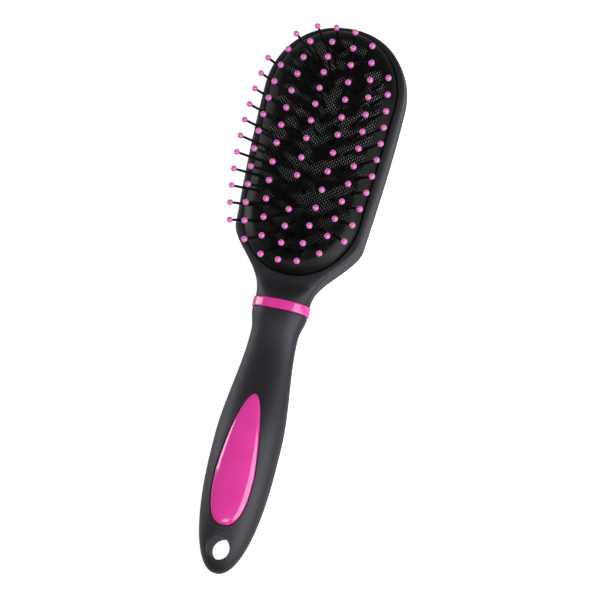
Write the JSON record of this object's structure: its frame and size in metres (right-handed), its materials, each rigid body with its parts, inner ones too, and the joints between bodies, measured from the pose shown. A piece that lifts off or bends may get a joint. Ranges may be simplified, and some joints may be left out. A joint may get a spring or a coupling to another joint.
{
  "type": "cushion hair brush",
  "caption": "Paddle-shaped cushion hair brush: domed rubber pad with leaning ball-tipped pins in a one-piece shell, ring collar, waisted grip with inlay and hang hole",
  "frame": {"origin": "On the table plane under the middle of the brush as it lies on its back: middle of the length and of the width, lowest point of the back", "axes": "+Y runs along the brush from the handle's tip to the top of the head, +Z points out of the cushion along the pins, +X runs across the head to the right as seen from the pins"},
  "size_m": [0.0626, 0.24, 0.0381],
  "materials": {
    "soft_touch": "fine soft-touch grain, charcoal",
    "cushion_rubber": "satin rubber with a smooth border and a finely textured field, black",
    "pin_plastic": "satin nylon, black, with glossy pink ball tips",
    "trim_gloss": "glossy, pink"
  },
  "bodies": {
    "brush": {"head_shell": "soft_touch", "cushion": "cushion_rubber", "collar_ring": "trim_gloss", "handle": "soft_touch", "handle_inlay": "trim_gloss"},
    "strip_1": {"pin_strip_1": "pin_plastic"},
    "strip_2": {"pin_strip_2": "pin_plastic"},
    "strip_3": {"pin_strip_3": "pin_plastic"},
    "strip_4": {"pin_strip_4": "pin_plastic"},
    "strip_5": {"pin_strip_5": "pin_plastic"},
    "strip_6": {"pin_strip_6": "pin_plastic"},
    "strip_7": {"pin_strip_7": "pin_plastic"}
  },
  "joints": [
    {"name": "strip_1_sink", "type": "slide", "parent": "brush", "child": "strip_1", "axis": [0, 0, -1], "range_m": [0, 0.003], "stiffness_N_per_m": 1000, "deforming": ["cushion"]},
    {"name": "strip_2_sink", "type": "slide", "parent": "brush", "child": "strip_2", "axis": [0, 0, -1], "range_m": [0, 0.003], "stiffness_N_per_m": 1000, "deforming": ["cushion"]},
    {"name": "strip_3_sink", "type": "slide", "parent": "brush", "child": "strip_3", "axis": [0, 0, -1], "range_m": [0, 0.003], "stiffness_N_per_m": 1000, "deforming": ["cushion"]},
    {"name": "strip_4_sink", "type": "slide", "parent": "brush", "child": "strip_4", "axis": [0, 0, -1], "range_m": [0, 0.003], "stiffness_N_per_m": 1000, "deforming": ["cushion"]},
    {"name": "strip_5_sink", "type": "slide", "parent": "brush", "child": "strip_5", "axis": [0, 0, -1], "range_m": [0, 0.003], "stiffness_N_per_m": 1000, "deforming": ["cushion"]},
    {"name": "strip_6_sink", "type": "slide", "parent": "brush", "child": "strip_6", "axis": [0, 0, -1], "range_m": [0, 0.003], "stiffness_N_per_m": 1000, "deforming": ["cushion"]},
    {"name": "strip_7_sink", "type": "slide", "parent": "brush", "child": "strip_7", "axis": [0, 0, -1], "range_m": [0, 0.003], "stiffness_N_per_m": 1000, "deforming": ["cushion"]}
  ]
}
